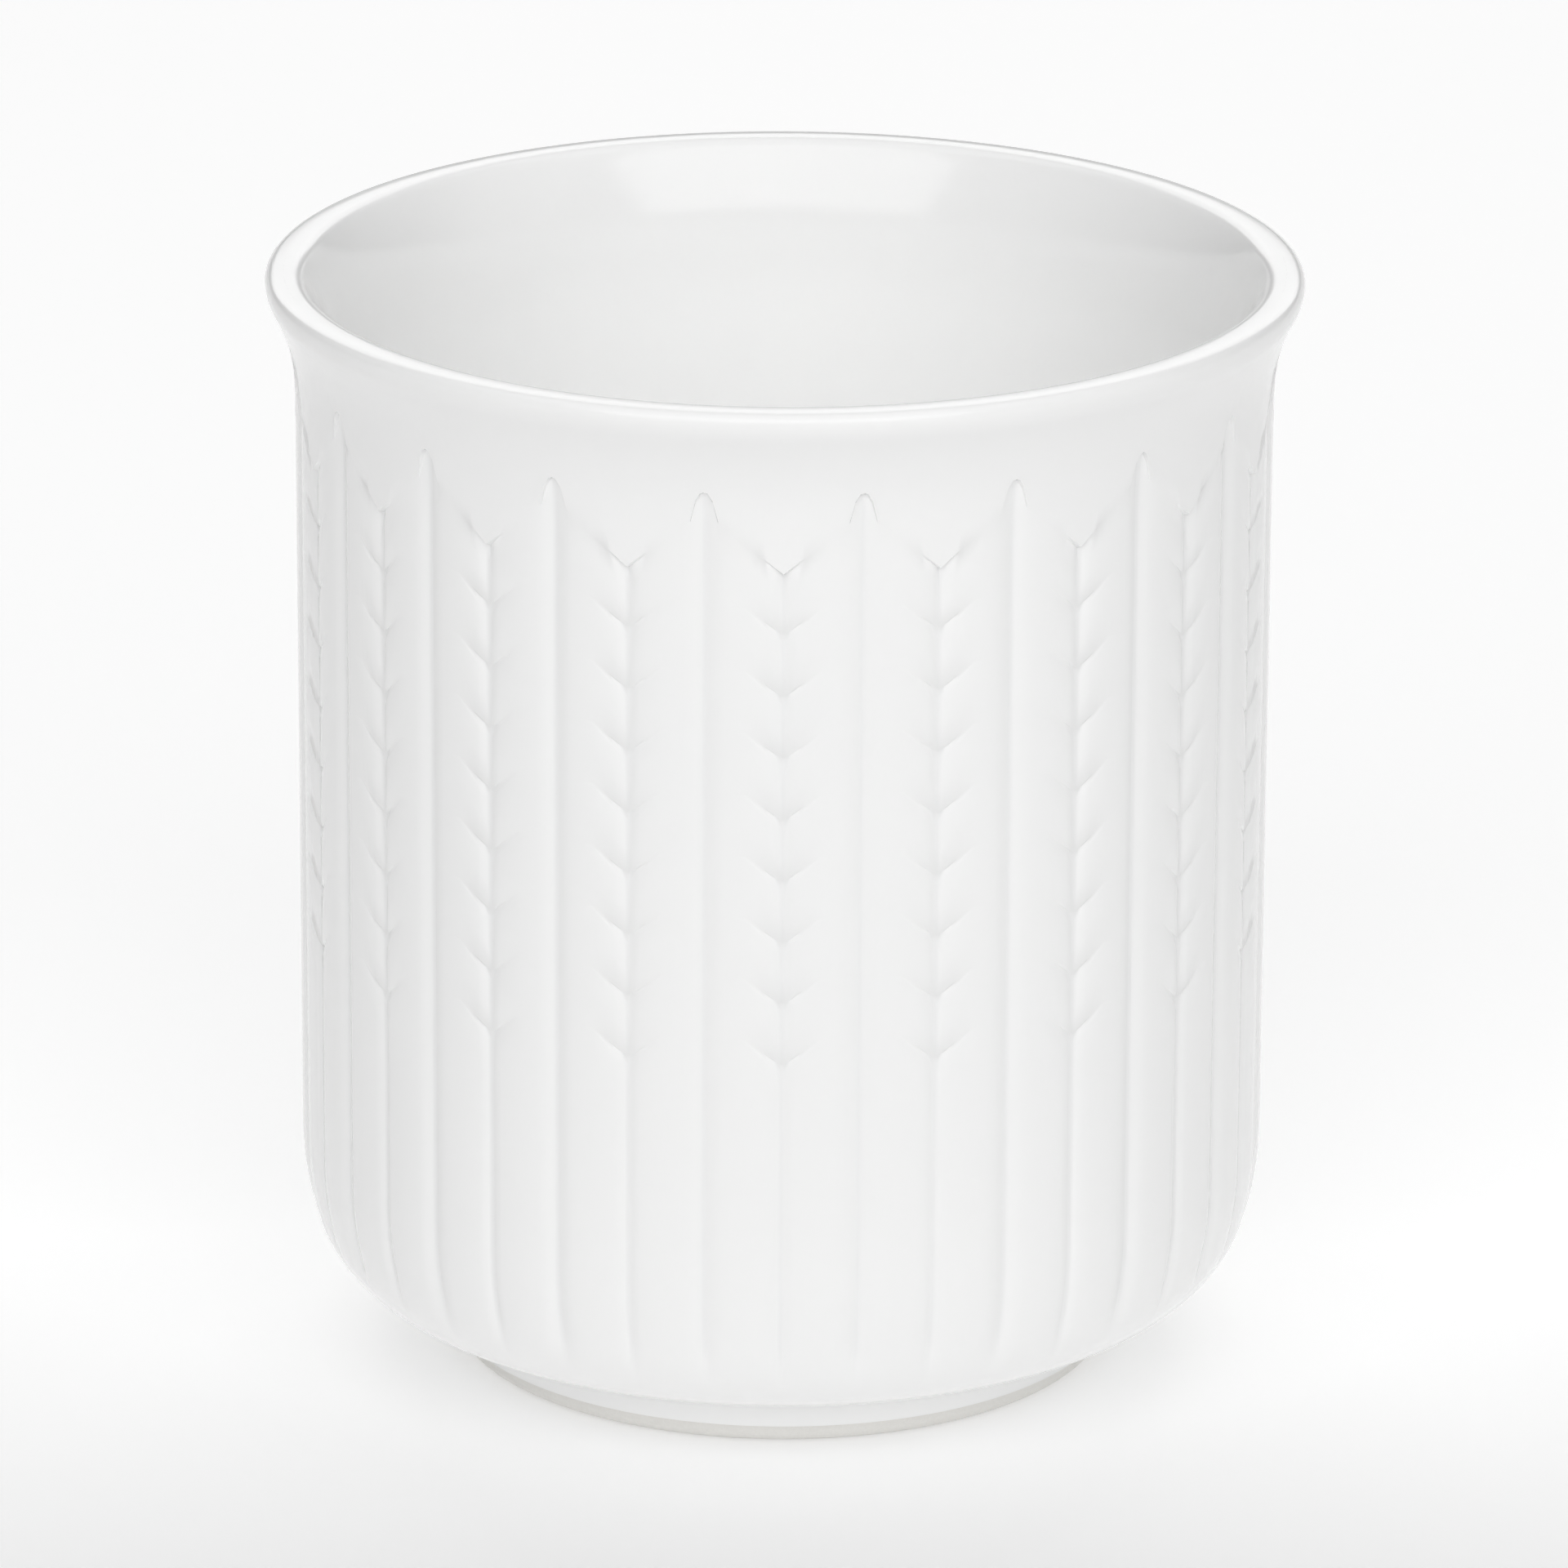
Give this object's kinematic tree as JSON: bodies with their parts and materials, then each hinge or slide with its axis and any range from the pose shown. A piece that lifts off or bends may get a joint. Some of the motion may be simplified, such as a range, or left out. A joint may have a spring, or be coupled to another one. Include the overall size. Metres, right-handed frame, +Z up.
{
  "type": "pen holder cup",
  "caption": "Fluted white porcelain desk cup with a rolled lip and a foot ring, open at the top, for pens and pencils.",
  "frame": {"origin": "centre of the ring that the cup stands on, at the level of that ring", "axes": "+Z up the cup's axis through the open mouth; a leaf stem of the relief faces -Y and another +Y"},
  "size_m": [0.09, 0.09, 0.098],
  "materials": {
    "bare_porcelain": "matte fired clay body, fine and smooth",
    "white_glaze": "clear gloss glaze over white porcelain"
  },
  "bodies": {
    "root": {"porcelain_body": "bare_porcelain", "outer_glaze": "white_glaze", "inner_glaze": "white_glaze", "recess_glaze": "white_glaze"}
  },
  "joints": []
}
